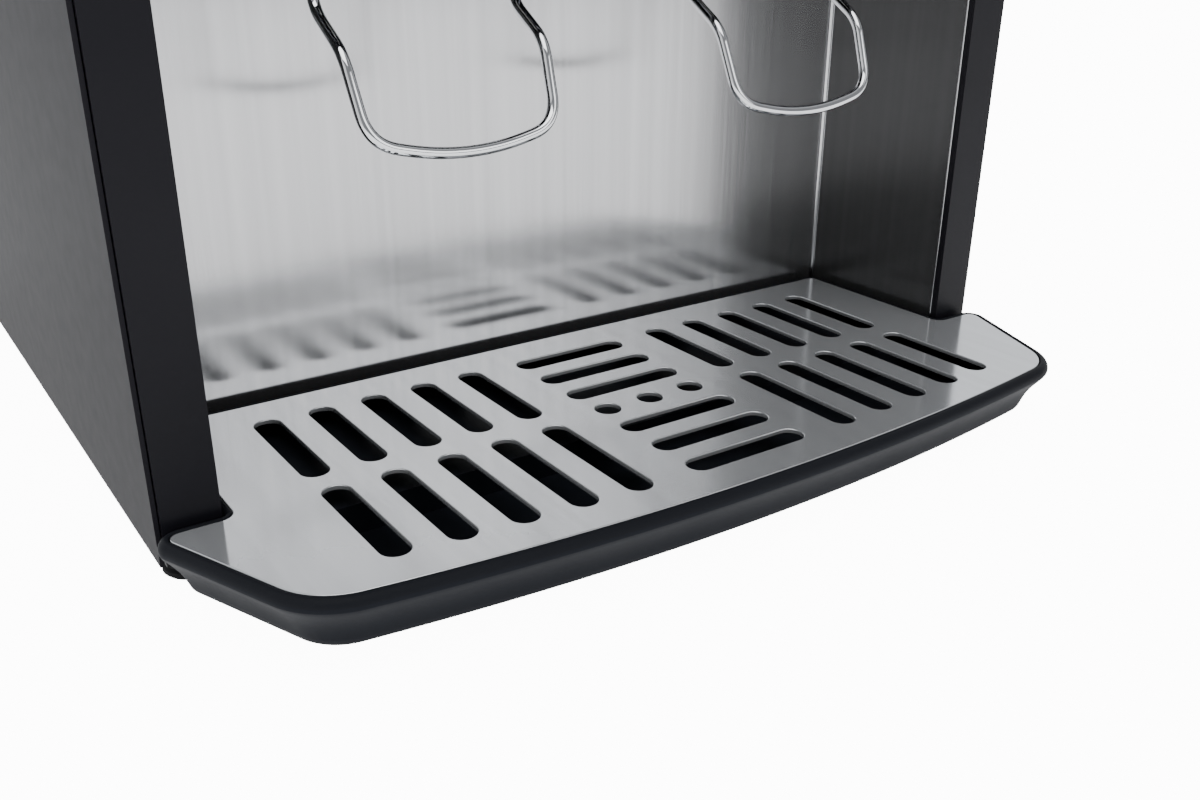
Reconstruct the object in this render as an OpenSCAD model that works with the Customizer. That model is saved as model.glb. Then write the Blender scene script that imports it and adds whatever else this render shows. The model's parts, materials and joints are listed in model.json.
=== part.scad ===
/* [Cabinet] */
// Width of the cabinet over its side panels
cab_w = 311; // [305:0.5:320]
// Front face of the posts
front_y = -150; // [-152:0.5:-148]
// Outer face of the back panel
back_y = 210.5; // [205:0.5:216]
// Height of the cabinet's underside above the counter
base_z = 11; // [10:0.5:12]
// Height of the side panels' top edge
side_top_z = 438; // [430:1:450]
// Thickness of the sheet steel
sheet = 1.2; // [1:0.1:1.5]

/* [Alcove] */
// Half the clear width between the posts
post_in = 138.5; // [137:0.5:140]
// Half the width between the lining's side walls
alcove_half = 141; // [140.5:0.25:141.5]
// Front face of the alcove's back wall
alcove_y = -79.7; // [-85:0.1:-78]
// Underside of the alcove's ceiling
ceil_z = 236; // [235:0.5:236]
// Lower edge of the header above the alcove
header_z = 226; // [222:1:230]

/* [Drip tray] */
// Top of the grille plate
plate_z = 22; // [21:0.5:23]
// Thickness of the grille plate
plate_t = 1.5; // [1:0.1:1.8]
// How far the plate's middle stands in front of the posts
plate_front = 63.5; // [60:1:68]
// Half-width of the plate between the posts
plate_half = 135.9; // [134:0.1:136]
// Depth of the plate behind the posts' front face
plate_back = 64.6; // [60:0.1:66]
// Width of a slot and diameter of a round hole
slot_w = 8.4; // [6:0.1:9]
// Distance between neighbouring long slots
slot_pitch = 17.5; // [16:0.1:18]
// Height of the tray's underside above the counter
tray_z = 4; // [3:0.5:6]

/* [Taps] */
// Distance of each tap from the middle
tap_x = 61.5; // [58:0.5:64]
// Depth of each nozzle's axis
nozzle_y = -137; // [-137.5:0.5:-136.5]
// Lever axis, front to back
lever_y = -123; // [-124:0.5:-122]
// Lever axis, height
lever_z = 216; // [214:0.5:217]
// Diameter of the lever wire
wire_d = 3.2; // [2.5:0.1:3.6]
// Half the distance between the two legs of a lever
leg_half = 29.7; // [28:0.1:30]
// Middle of the lever's lower bar, height
loop_z = 106.6; // [100:0.5:112]

/* [Hidden] */
$fn = 48;

// Shared derived sizes
eps = 0.01;
half_w = cab_w / 2;
inner_half = half_w - sheet;          // inner face of the side panels
seam = 0.3;                           // shadow gap between cabinet pieces
fill_half = inner_half - seam;        // half-width of pieces that sit between the side panels
pan_t = 1.5;                          // thickness of the base pan and the shelf
floor_z = base_z + pan_t;             // top of the base pan
shelf_z = 239;                        // underside of the equipment shelf
deck_z = shelf_z + pan_t;             // top of the equipment shelf
top_z = 442.5;                        // top of the top cover
top_t = 4.2;                          // thickness of the top cover

// Tray outline, worked out from the plate's edge. grow moves it outwards.
bow_r = 869;                          // radius of the bowed front edge
corner_r = 20;                        // radius of the plate's front corners
side_a = 22.5;                        // angle of the angled sides to the depth direction
wing_x = 155.2;                       // half-width of the plate's widest point
wing_y = -3.8;                        // that point, measured from the posts' front face
notch_r = 4;                          // radius of the inner corner at each post
rear_r = 3;                           // radius of the plate's rear corners
wing_r = 3;                           // radius of the plate's widest corners
rim_g = 3.3;                          // how far the rim's bead stands outside the plate
tray_front = front_y - plate_front - rim_g;
side_n = [cos(side_a), -sin(side_a)];
side_d = [sin(side_a), cos(side_a)];
side_k = side_n * [wing_x, wing_y];
bow_c = [0, bow_r - plate_front];
corner_n = side_n * (side_k - corner_r);
corner_s = bow_c * side_d - sqrt(pow(bow_c * side_d, 2) + pow(bow_r - corner_r, 2)
           - pow(norm(corner_n - bow_c), 2));
corner_c = corner_n + side_d * corner_s;
bow_a = atan2(corner_c.y - bow_c.y, corner_c.x);

function arc(c, r, a0, a1, n) = [for (i = [0:n]) let (a = a0 + (a1 - a0) * i / n)
                                 c + r * [cos(a), sin(a)]];
function side_x(g, y) = (side_k + g + sin(side_a) * y) / cos(side_a);
// The rounded corner between an angled side and a straight rear edge at depth y
function wing(g, y, r) = arc([side_x(g - r, y - r), y - r], r, -side_a, 90, 6);
function half_outline(g) = concat(
    arc(bow_c, bow_r + g, -90, bow_a, 10),
    arc(corner_c, corner_r + g, bow_a, -side_a, 8),
    wing(g, wing_y + g, wing_r + g),
    arc([plate_half + notch_r, wing_y + notch_r], notch_r - g, 270, 180, 5),
    arc([plate_half - rear_r, plate_back - rear_r], rear_r + g, 0, 90, 4));
function mirrored(p) = [for (i = [len(p) - 1:-1:1]) [-p[i].x, p[i].y]];
function outline(g) = let (h = half_outline(g)) [for (p = concat(h, mirrored(h))) p + [0, front_y]];
// The part of the outline in front of the posts, closed by a straight edge at depth y
function front_outline(g, y) = let (h = concat(
    arc(bow_c, bow_r + g, -90, bow_a, 10),
    arc(corner_c, corner_r + g, bow_a, -side_a, 8),
    wing(g, y, wing_r + max(g, 1)), [[0, y]]))
    [for (p = concat(h, mirrored(h))) p + [0, front_y]];

// A round tube along points
function unit(v) = v / norm(v);
function tangents(p) = [for (i = [0:len(p) - 1]) unit(p[min(i + 1, len(p) - 1)] - p[max(i - 1, 0)])];
function first_normal(t) = unit(cross(t, abs(t.x) < 0.9 ? [1, 0, 0] : [0, 1, 0]));
function normals(t, i = 1, acc = []) =
    i == 1 && len(acc) == 0 ? normals(t, 1, [first_normal(t[0])])
    : i >= len(t) ? acc
    : normals(t, i + 1, concat(acc, [unit(acc[i - 1] - t[i] * (acc[i - 1] * t[i]))]));
module tube(p, r, sides) {
    t = tangents(p);
    n = normals(t);
    last = len(p) - 1;
    pts = [for (i = [0:last]) for (k = [0:sides - 1])
           p[i] + r * (cos(360 * k / sides) * n[i] + sin(360 * k / sides) * cross(t[i], n[i]))];
    walls = [for (i = [0:last - 1]) for (k = [0:sides - 1])
             let (a = i * sides + k, b = i * sides + (k + 1) % sides)
             each [[a, b, b + sides], [a, b + sides, a + sides]]];
    polyhedron(pts, concat(walls, [[for (k = [sides - 1:-1:0]) k]], [[for (k = [0:sides - 1]) last * sides + k]]));
}
// Points round a bend at b, between straight runs from a and to c
function bend(a, b, c, reach, n) = let (p = b + unit(a - b) * reach, q = b + unit(c - b) * reach)
    [for (i = [0:n]) let (u = i / n) p * pow(1 - u, 2) + b * 2 * u * (1 - u) + q * u * u];
function route(v, reach, n) = concat([v[0]],
    [for (i = [1:len(v) - 2]) each bend(v[i - 1], v[i], v[i + 1], reach[i - 1], n)], [v[len(v) - 1]]);

module box(lo, hi) {
    translate(lo) cube(hi - lo);
}
module along_y(p, r, len) {
    translate(p) rotate([-90, 0, 0]) cylinder(r = r, h = len);
}
module along_x(p, r, len) {
    translate(p) rotate([0, 90, 0]) cylinder(r = r, h = len);
}
module upright(p, r, len) {
    translate(p) cylinder(r = r, h = len);
}
module both_sides() {
    children();
    mirror([1, 0, 0]) children();
}

// ---- Cabinet -----------------------------------------------------------------------------------
foot_r = 8;
foot_x = 144;
feet_y = [-134, 184];
compressor_c = [74, 66];
compressor_bolt = [46, 38];

module base_pan() {
    color("#2c2c2f") difference() {
        union() {
            box([-fill_half, front_y + 10.5, base_z], [fill_half, back_y - sheet - 0.3, floor_z]);
            box([-post_in + 0.3, front_y + 1, base_z], [post_in - 0.3, front_y + 11, floor_z]);
        }
        for (i = [-1, 1]) for (j = [-1, 1])
            upright([compressor_c.x + i * compressor_bolt.x, compressor_c.y + j * compressor_bolt.y, 0], 3.2, 30);
        for (i = [0:7])
            box([-130 + i * 14, 60, 0], [-124 + i * 14, 120, 30]);
    }
}

foot_profile = [[0, 0], [7.2, 0], [foot_r, 0.8], [foot_r, 2.2], [7.2, 3], [foot_r, 3.8], [foot_r, 5.2],
                [7.2, 6], [foot_r, 6.8], [foot_r, 8.2], [7.2, 9], [foot_r, 9.8], [foot_r, base_z], [0, base_z]];
module rubber_feet() {
    color("#161618") both_sides() for (y = feet_y)
        translate([foot_x, y, 0]) rotate_extrude() polygon(foot_profile);
}

screw_x = 147;
screw_z = [40, 165, 290, 415];
module side_panel() {
    difference() {
        union() {
            box([inner_half, front_y + 0.8, base_z], [half_w, back_y, side_top_z]);
            box([screw_x - 8, back_y - 2 * sheet - 0.1, floor_z + 2], [inner_half + eps, back_y - sheet - 0.1,
                side_top_z - 2]);
            box([inner_half - 12, alcove_y + 8, floor_z], [inner_half + eps, back_y - 20, floor_z + sheet]);
        }
        for (z = screw_z)
            along_y([screw_x, back_y - 10, z], 2.05, 20);
    }
}
module side_panel_left() {
    color("#5d5e62") mirror([1, 0, 0]) side_panel();
}
module side_panel_right() {
    color("#5d5e62") side_panel();
}

inlet_x = 100;
inlet_z = 62;
power_lo = [-132, 190];
power_hi = [-30, 226];
bumper_x = 118;
bumper_z = [24, 372];
module back_panel() {
    color("#3a3a3d") difference() {
        box([-inner_half + 0.2, back_y - sheet, floor_z + 0.3], [inner_half - 0.2, back_y, side_top_z - 0.3]);
        both_sides() for (z = screw_z)
            along_y([screw_x, back_y - 10, z], 2.1, 20);
        for (i = [0:12])
            box([-134, back_y - 5, 34 + i * 11], [-26, back_y + 5, 38 + i * 11]);
        for (i = [0:7])
            box([22, back_y - 5, 92 + i * 11], [92, back_y + 5, 96 + i * 11]);
        for (i = [0:5])
            box([-60, back_y - 5, 352 + i * 11], [60, back_y + 5, 356 + i * 11]);
        along_y([inlet_x, back_y - 10, inlet_z], 8.2, 20);
        box([power_lo.x + 2, back_y - 5, power_lo.y + 2], [power_hi.x - 2, back_y + 5, power_hi.y - 2]);
    }
}
module rear_bumpers() {
    color("#161618") both_sides() for (z = bumper_z) {
        along_y([bumper_x, back_y, z], 9, -tray_front - back_y - 1.2);
        along_y([bumper_x, back_y, z], 7.5, -tray_front - back_y);
    }
}

lid_half = 84;
lid_y = [78, 178];
lid_axis = [182.5, 447];
ear_x = [72, 78];
module top_cover() {
    color("#1d1d20") difference() {
        union() {
            box([-half_w, front_y, top_z - top_t], [half_w, back_y, top_z]);
            box([-fill_half, front_y + 3.4, top_z - top_t - 7], [fill_half, front_y + 5.4, top_z - top_t + eps]);
            both_sides() box([ear_x[0], lid_axis[0] - 4, top_z - eps], [ear_x[1], lid_axis[0] + 4, lid_axis[1]]);
            both_sides() along_x([ear_x[0], lid_axis[0], lid_axis[1]], 4, ear_x[1] - ear_x[0]);
        }
        box([-lid_half + 5, lid_y[0] + 5, top_z - 20], [lid_half - 5, lid_y[1] - 4, top_z + 20]);
        along_x([-100, lid_axis[0], lid_axis[1]], 2.05, 200);
    }
}

module filter_lid() {
    color("#1d1d20") {
        difference() {
            union() {
                box([-lid_half, lid_y[0], top_z + 0.3], [lid_half, lid_y[1], top_z + 4]);
                both_sides() box([62, lid_y[1] - eps, top_z + 1], [71.5, lid_axis[0], top_z + 4]);
                both_sides() along_x([62, lid_axis[0], lid_axis[1]], 4, 9.5);
                both_sides() along_x([70, lid_axis[0], lid_axis[1]], 2, 7.5);
            }
            translate([0, lid_y[0] - 6, 0]) cylinder(r = 18, h = 900);
        }
    }
}

module post() {
    box([post_in, front_y, base_z], [fill_half, front_y + 2.5, header_z]);
    box([alcove_half + 1.5, front_y + 2, base_z], [fill_half, front_y + 10, header_z]);
}
module post_left() {
    color("#1c1c1f") mirror([1, 0, 0]) post();
}
module post_right() {
    color("#1c1c1f") post();
}
header_top = shelf_z + 1;
module header() {
    color("#1c1c1f") {
        box([-fill_half, front_y, header_z + 0.2], [fill_half, front_y + 2.6, header_top]);
        box([-alcove_half, front_y + 2, header_z + 0.2], [alcove_half, front_y + 3.4, header_z + 2.6]);
    }
}

window_lo = [-62, 356];
window_hi = [62, 388];
button_x = [-32, 0, 32];
button_z = 330;
button_r = 8;
module fascia() {
    color("#18181a") difference() {
        union() {
            box([-fill_half, front_y, header_top + 0.3], [fill_half, front_y + 3, side_top_z]);
            both_sides() box([fill_half - 3, front_y + 2, header_top + 0.3], [fill_half, front_y + 10, side_top_z - 10]);
        }
        box([window_lo.x, front_y - 1, window_lo.y], [window_hi.x, front_y + 1.2, window_hi.y]);
        for (x = button_x)
            along_y([x, front_y - 5, button_z], button_r + 0.3, 20);
        for (x = button_x)
            along_y([x, front_y - 5, (window_lo.y + window_hi.y) / 2], 2.4, 20);
    }
}
module control_window() {
    color("#0c0d10") {
        box([window_lo.x + 0.2, front_y - 0.4, window_lo.y + 0.2], [window_hi.x - 0.2, front_y + 1.2, window_hi.y - 0.2]);
        for (x = button_x)
            along_y([x, front_y, (window_lo.y + window_hi.y) / 2], 2.2, 4.5);
    }
}
module button(x) {
    along_y([x, front_y - 1.8, button_z], button_r, 6);
    along_y([x, front_y + 3.3, button_z], button_r + 1.4, 1.2);
}
module button_hot() {
    color("#b8342c") button(button_x[2]);
}
module button_cold() {
    color("#2f6fb0") button(button_x[0]);
}
module button_light() {
    color("#c9cacc") button(button_x[1]);
}
board_y = front_y + 7.6;
module control_board() {
    color("#1f5b3a") {
        difference() {
            box([-66, board_y, 312], [66, board_y + 1.6, 396]);
            both_sides() for (z = [316, 392])
                along_y([62, board_y - 5, z], 1.6, 10);
        }
        for (x = button_x)
            box([x - 3, board_y - 1.6, button_z - 3], [x + 3, board_y + eps, button_z + 3]);
        for (x = button_x)
            along_y([x, board_y - 1.8, (window_lo.y + window_hi.y) / 2], 2, 2);
        box([-24, board_y + 1.6 - eps, 362], [24, board_y + 7, 384]);
        box([-50, board_y + 1.6 - eps, 318], [-26, board_y + 9, 326]);
    }
}

// ---- Alcove ------------------------------------------------------------------------------------
lining_t = 1;
module alcove_back() {
    color("#c9c9cb") box([-alcove_half, alcove_y, floor_z], [alcove_half, alcove_y + lining_t, ceil_z]);
}
module alcove_side() {
    box([alcove_half, front_y + 2.6, floor_z], [alcove_half + lining_t, alcove_y + lining_t, ceil_z]);
    box([alcove_half, alcove_y + lining_t, floor_z], [alcove_half + 9, alcove_y + 2 * lining_t, ceil_z]);
}
module alcove_side_left() {
    color("#9a9a9d") mirror([1, 0, 0]) alcove_side();
}
module alcove_side_right() {
    color("#9a9a9d") alcove_side();
}
riser_y = -107;
riser_r = 5;
module alcove_ceiling() {
    color("#8e8e91") difference() {
        box([-alcove_half - lining_t, front_y + 3.6, ceil_z], [alcove_half + lining_t, alcove_y + lining_t,
            ceil_z + pan_t]);
        both_sides() upright([tap_x, riser_y, ceil_z - 5], riser_r + 0.4, 15);
    }
}

// ---- Drip tray ---------------------------------------------------------------------------------
seat_z = plate_z - plate_t - 0.3;     // ledge that carries the plate
// Height above the tray's underside and how far the skin stands outside the plate's edge, bottom up
tray_skin = [[0, -5.6], [0.8, -4.5], [2.4, -3.8], [5, -3.2], [6.8, -2.3], [8.4, -1.1], [9.8, 0.3], [11.2, 1.6],
             [12.6, 2.6], [14, rim_g], [16, 3], [16.7, 2.4], [17.4, 1.7], [18, 1], [18.2, 1]];
rear_floor_z = floor_z + 1;
tray_wall = 2.2;
slide_half = post_in - 0.4;
slide_back = front_y + plate_back + 2.2;
post_gap = 0.5;                       // between the tray's wide front and the posts
module front_slice(lo, hi, grow, inset) {
    translate([0, 0, lo]) linear_extrude(hi - lo) polygon(front_outline(grow, -post_gap - inset));
}
module rear_block(lo, hi, inset) {
    box([-slide_half + inset, front_y - 12, lo], [slide_half - inset, slide_back - inset, hi]);
}
module drip_tray() {
    color("#26272a") difference() {
        union() {
            for (i = [0:len(tray_skin) - 2])
                front_slice(tray_z + tray_skin[i][0], tray_z + tray_skin[i + 1][0], tray_skin[i][1], 0);
            rear_block(rear_floor_z, tray_z + tray_skin[len(tray_skin) - 1][0], 0);
        }
        front_slice(tray_z + 2, rear_floor_z - 1, -7, tray_wall);
        front_slice(rear_floor_z - 1.1, rear_floor_z + 1.5, -6, tray_wall);
        front_slice(rear_floor_z + 1.4, seat_z + 1, -3.4, tray_wall + 4);
        rear_block(rear_floor_z + 1.5, seat_z + 1, 5);
        translate([0, 0, seat_z]) linear_extrude(10) polygon(outline(0.3));
        translate([0, 0, plate_z]) linear_extrude(10) polygon(outline(0.8));
    }
}

module stadium(p, length, turn) {
    translate(p) rotate(turn) {
        square([length - slot_w, slot_w], center = true);
        for (i = [-1, 1])
            translate([i * (length - slot_w) / 2, 0]) circle(d = slot_w);
    }
}
rear_slot = [6, 51];
front_slot_rear = -1.6;
front_slot_reach = 52.9;              // front end a front slot would have in the middle of the bow
cross_rear_y = [45.5, 29.7, 13.9];
cross_front_y = [-15.7, -31.6, -47.3];
cross_len = 43;
hole_step = 16.5;
hole_y = -0.7;
module slot_field() {
    for (i = [0:4]) for (s = [-1, 1]) {
        x = s * (39.2 + slot_pitch * i);
        slot_end = -front_slot_reach + bow_r - sqrt(bow_r * bow_r - x * x) + 0.6;
        stadium([x, (rear_slot[0] + rear_slot[1]) / 2], rear_slot[1] - rear_slot[0], 90);
        stadium([x, (front_slot_rear + slot_end) / 2], front_slot_rear - slot_end, 90);
    }
    for (y = concat(cross_rear_y, cross_front_y))
        stadium([0, y], cross_len, 0);
    for (i = [-1:1])
        translate([i * hole_step, hole_y]) circle(d = slot_w);
}
module drip_grille() {
    color("#c4c5c8") translate([0, 0, plate_z - plate_t]) linear_extrude(plate_t) difference() {
        polygon(outline(0));
        translate([0, front_y]) slot_field();
    }
}

// ---- Taps --------------------------------------------------------------------------------------
housing_half = 106;
housing_z = 199;
housing_y = [-146.2, -96];
module tap_housing() {
    color("#1a1a1d") difference() {
        box([-housing_half, housing_y[0], housing_z], [housing_half, housing_y[1], ceil_z]);
        box([-housing_half + 2, housing_y[0] + 2, housing_z - 1], [housing_half - 2, housing_y[1] - 2, ceil_z - 1.5]);
        both_sides() upright([tap_x, riser_y, ceil_z - 5], riser_r + 0.4, 15);
    }
}
hub_half = leg_half + 3.6;
hub_r = 6;
pin_r = 2;
bracket_z = 232.6;
module lever_bracket() {
    color("#a8a9ac") difference() {
        union() {
            box([-tap_x - 40, lever_y - 6, bracket_z], [tap_x + 40, lever_y + 6, ceil_z - 1.8]);
            for (s = [-1, 1]) for (i = [-1, 1])
                translate([s * tap_x + i * (hub_half + 2.2), 0, 0])
                    box([-1.5, lever_y - 6, lever_z - 5], [1.5, lever_y + 6, bracket_z + eps]);
        }
        along_x([-150, lever_y, lever_z], pin_r + 0.02, 300);
        for (s = [-1, 1])
            box([s * tap_x - 14, lever_y - 10, bracket_z - 5], [s * tap_x + 14, lever_y - 2, ceil_z]);
    }
}
module pivot_pins() {
    color("#b9babd") both_sides() along_x([tap_x - hub_half - 5, lever_y, lever_z], pin_r, 2 * hub_half + 10);
}
finger_z = lever_z + 11.5;
module lever_hub() {
    difference() {
        union() {
            along_x([-hub_half, lever_y, lever_z], hub_r, 2 * hub_half);
            box([-3, lever_y - 3, lever_z], [3, lever_y + 3, finger_z + 3]);
            box([-3, nozzle_y - 2.6, finger_z], [3, lever_y + 3, finger_z + 3]);
        }
        along_x([-hub_half - 1, lever_y, lever_z], pin_r + 0.05, 2 * hub_half + 2);
        for (i = [-1, 1])
            upright([i * leg_half, lever_y, lever_z - hub_r - 1], wire_d / 2 + 0.08, 4);
    }
}
module lever_hub_left() {
    color("#232326") translate([-tap_x, 0, 0]) lever_hub();
}
module lever_hub_right() {
    color("#232326") translate([tap_x, 0, 0]) lever_hub();
}

// The lever wire: two straight legs, a step forward, and a bowed bar below
knee_top = [leg_half, lever_y, 143];
knee_low = [leg_half, -140, 133];
loop_side = [leg_half - 1.6, -148.6, 111.6];
loop_mid = [0, -150, loop_z - 1.6];
wire_end = [leg_half, lever_y, lever_z - hub_r + 2.6];
function flip_x(p) = [-p.x, p.y, p.z];
wire_points = route([wire_end, knee_top, knee_low, loop_side, loop_mid, flip_x(loop_side), flip_x(knee_low),
                     flip_x(knee_top), flip_x(wire_end)], [6, 5, 8, 19, 8, 5, 6], 6);
module wire_lever() {
    tube(wire_points, wire_d / 2, 12);
}
module wire_lever_left() {
    color("#d8d9dc") translate([-tap_x, 0, 0]) wire_lever();
}
module wire_lever_right() {
    color("#d8d9dc") translate([tap_x, 0, 0]) wire_lever();
}

valve_r = 7;
valve_z = [200, 220];
stem_r = 2.4;
boss_z = 204;
spigot_z = 252;
module valve_body() {
    difference() {
        union() {
            upright([0, nozzle_y, valve_z[0]], valve_r, valve_z[1] - valve_z[0]);
            along_y([0, nozzle_y, boss_z], 4, riser_y - nozzle_y);
            translate([0, riser_y, boss_z]) sphere(r = 4);
            upright([0, riser_y, boss_z], 4, spigot_z - boss_z);
            upright([0, riser_y, ceil_z - 7], 7.5, 5.2);
        }
        upright([0, nozzle_y, valve_z[0] + 6], stem_r + 0.06, 30);
        upright([0, nozzle_y, valve_z[0] - 1], 4, 4);
    }
}
module valve_body_left() {
    color("#e4e4e2") translate([-tap_x, 0, 0]) valve_body();
}
module valve_body_right() {
    color("#e4e4e2") translate([tap_x, 0, 0]) valve_body();
}
nozzle_z = 184;
nozzle_profile = [[3, 0], [5, 0], [5.4, 0.6], [6.2, 8], [valve_r, 9], [valve_r, valve_z[0] - nozzle_z - 0.05],
                  [3, valve_z[0] - nozzle_z - 0.05]];
module nozzle() {
    translate([0, nozzle_y, nozzle_z]) rotate_extrude() polygon(nozzle_profile);
}
module nozzle_left() {
    color("#2c2c2f") translate([-tap_x, 0, 0]) nozzle();
}
module nozzle_right() {
    color("#2c2c2f") translate([tap_x, 0, 0]) nozzle();
}
stem_top = finger_z - 0.3;
module plunger() {
    upright([0, nozzle_y, valve_z[0] + 10.5], stem_r, stem_top - valve_z[0] - 11.5);
    upright([0, nozzle_y, stem_top - 2.2], 4.6, 1.2);
    upright([0, nozzle_y, stem_top - 1.5], 1.8, 1.5);
}
module plunger_left() {
    color("#d9d9d6") translate([-tap_x, 0, 0]) plunger();
}
module plunger_right() {
    color("#d9d9d6") translate([tap_x, 0, 0]) plunger();
}
spring_r = 3.6;
spring_wire = 0.4;
spring_lo = valve_z[1] + spring_wire + 0.05;
spring_hi = stem_top - 2.2 - spring_wire - 0.05;
spring_turns = 4;
module valve_spring() {
    steps = spring_turns * 12;
    tube([for (i = [0:steps]) [spring_r * cos(30 * i), nozzle_y + spring_r * sin(30 * i),
          spring_lo + (spring_hi - spring_lo) * i / steps]], spring_wire, 6);
}
module valve_spring_left() {
    color("#c0c1c4") translate([-tap_x, 0, 0]) valve_spring();
}
module valve_spring_right() {
    color("#c0c1c4") translate([tap_x, 0, 0]) valve_spring();
}

// ---- Water circuit -----------------------------------------------------------------------------
filter_x = 38;
filter_y = 128;
manifold_top = 262;
module filter_manifold() {
    color("#e6e6e2") difference() {
        union() {
            box([-72, 100, deck_z], [72, 156, manifold_top]);
            along_y([0, 92, 251], 4, 10);
            along_x([70, filter_y, 251], 4, 10);
        }
        both_sides() upright([filter_x, filter_y, manifold_top - 14], 10.05, 20);
    }
}
filter_profile = [[0, manifold_top - 12], [10, manifold_top - 12], [10, manifold_top + 1], [22, manifold_top + 6],
                  [27, manifold_top + 12], [27, 396], [24, 404], [10, 408], [0, 408]];
module filter() {
    translate([filter_x, filter_y, 0]) {
        rotate_extrude() polygon(filter_profile);
        box([-20, -4, 400], [20, 4, 422]);
    }
}
module filter_sediment() {
    color("#f0f0ee") mirror([1, 0, 0]) filter();
}
module filter_carbon() {
    color("#dfe6ee") filter();
}
cold_c = [-73, 0];
hot_c = [62, -26];
module equipment_shelf() {
    color("#8d8e91") difference() {
        box([-fill_half, front_y + 12, shelf_z], [fill_half, back_y - 14, deck_z]);
        both_sides() upright([tap_x, riser_y, shelf_z - 5], riser_r + 0.4, 15);
        upright([108, filter_y, shelf_z - 5], 6, 15);
        box([-140, 168, shelf_z - 5], [-30, 182, shelf_z + 5]);
    }
}
cold_profile = [[0, 254], [30, 254], [52, 262], [55, 268], [55, 388], [52, 394], [30, 402], [4.4, 402], [4.4, 421],
                [0, 421]];
module cold_tank() {
    color("#c6c7ca") {
        translate([cold_c.x, cold_c.y, 0]) rotate_extrude() polygon(cold_profile);
        along_y([cold_c.x, cold_c.y - 80, 290], 4, 30);
    }
}
jacket_profile = [[0, deck_z], [70, deck_z], [72, deck_z + 2], [72, 414], [70, 416], [4.8, 416], [4.8, 402.5],
                  [30, 402.5], [52.4, 394.5], [55.5, 388.5], [55.5, 267.5], [52.4, 261.5], [30, 253.5], [0, 253.5]];
module cold_jacket() {
    color("#f2f2f0") difference() {
        translate([cold_c.x, cold_c.y, 0]) rotate_extrude() polygon(jacket_profile);
        along_y([cold_c.x, cold_c.y - 90, 290], 4.4, 40);
    }
}
hot_profile = [[0, 252], [30, 252], [38, 258], [40, 264], [40, 356], [38, 362], [26, 368], [0, 368]];
module hot_tank() {
    color("#c6c7ca") {
        translate([hot_c.x, hot_c.y, 0]) rotate_extrude() polygon(hot_profile);
        for (i = [0:2])
            upright([hot_c.x + 22 * cos(120 * i), hot_c.y + 22 * sin(120 * i), deck_z], 4, 13);
        along_y([hot_c.x, hot_c.y - 54, 290], 4, 16);
    }
}
module band_heater() {
    color("#9c8a5a") {
        translate([hot_c.x, hot_c.y, 0]) rotate_extrude() polygon([[40.1, 306], [43, 306], [43, 340], [40.1, 340]]);
        box([hot_c.x + 42.5, hot_c.y - 8, 312], [hot_c.x + 52, hot_c.y + 8, 334]);
    }
}
pot_profile = [[0, 22], [44, 22], [52, 34], [55, 60], [55, 118], [50, 140], [38, 154], [18, 160], [0, 161]];
module compressor() {
    color("#1b1b1e") {
        translate([compressor_c.x, compressor_c.y, 0]) {
            rotate_extrude() polygon(pot_profile);
            box([-57, -47, floor_z + 8 - eps], [57, 47, 24.5]);
            for (i = [-1, 1]) for (j = [-1, 1]) {
                upright([i * compressor_bolt.x, j * compressor_bolt.y, floor_z], 8, 8);
                upright([i * compressor_bolt.x, j * compressor_bolt.y, base_z + 0.5], 3, 15);
            }
        }
        box([compressor_c.x - 70, compressor_c.y - 14, 70], [compressor_c.x - 50, compressor_c.y + 14, 108]);
    }
}
cond_x = [-140, -20];
cond_y = [166, 194];
cond_z = [30, 168];
module condenser() {
    color("#b0b1b3") {
        for (x = [cond_x[0], cond_x[1] - 2])
            box([x, cond_y[0], cond_z[0]], [x + 2, cond_y[1], cond_z[1]]);
        for (i = [0:21])
            box([cond_x[0] + 6.3 + i * 5, cond_y[0] + 1, cond_z[0] + 2], [cond_x[0] + 6.9 + i * 5, cond_y[1] - 1,
                cond_z[1] - 2]);
        for (i = [0:4])
            along_x([cond_x[0] - 3, (cond_y[0] + cond_y[1]) / 2, cond_z[0] + 17 + i * 26], 4, cond_x[1] - cond_x[0] + 6);
        for (x = [cond_x[0], cond_x[1] - 2])
            box([x, cond_y[0], floor_z], [x + 2, cond_y[1], cond_z[0] + 1]);
    }
}
fan_c = [-80, 100];
fan_y = [138, 163];
module fan_shroud() {
    color("#202023") difference() {
        union() {
            box([cond_x[0], fan_y[0], cond_z[0]], [cond_x[1], fan_y[1], cond_z[1]]);
            box([cond_x[0], fan_y[0], floor_z], [cond_x[0] + 4, fan_y[1], cond_z[0] + 1]);
            box([cond_x[1] - 4, fan_y[0], floor_z], [cond_x[1], fan_y[1], cond_z[0] + 1]);
        }
        difference() {
            along_y([fan_c.x, fan_y[0] - 1, fan_c.y], 55, 40);
            along_y([fan_c.x, fan_y[0] - 2, fan_c.y], 16, 6);
            along_y([fan_c.x, fan_y[0], fan_c.y], 2.5, 18);
            for (a = [45, 135])
                translate([fan_c.x, 0, fan_c.y]) rotate([0, a, 0]) box([-60, fan_y[0], -3], [60, fan_y[0] + 3, 3]);
        }
    }
}
module fan_rotor() {
    color("#3a3a3e") difference() {
        translate([fan_c.x, 0, fan_c.y]) {
            along_y([0, fan_y[0] + 5, 0], 14, 15);
            for (i = [0:6])
                rotate([0, i * 360 / 7, 0]) translate([0, fan_y[0] + 13, 0]) rotate([0, 0, 0])
                    translate([0, 0, 31]) rotate([0, 0, 32]) cube([22, 1.6, 42], center = true);
        }
        along_y([fan_c.x, fan_y[0], fan_c.y], 2.55, 18.5);
    }
}
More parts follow.
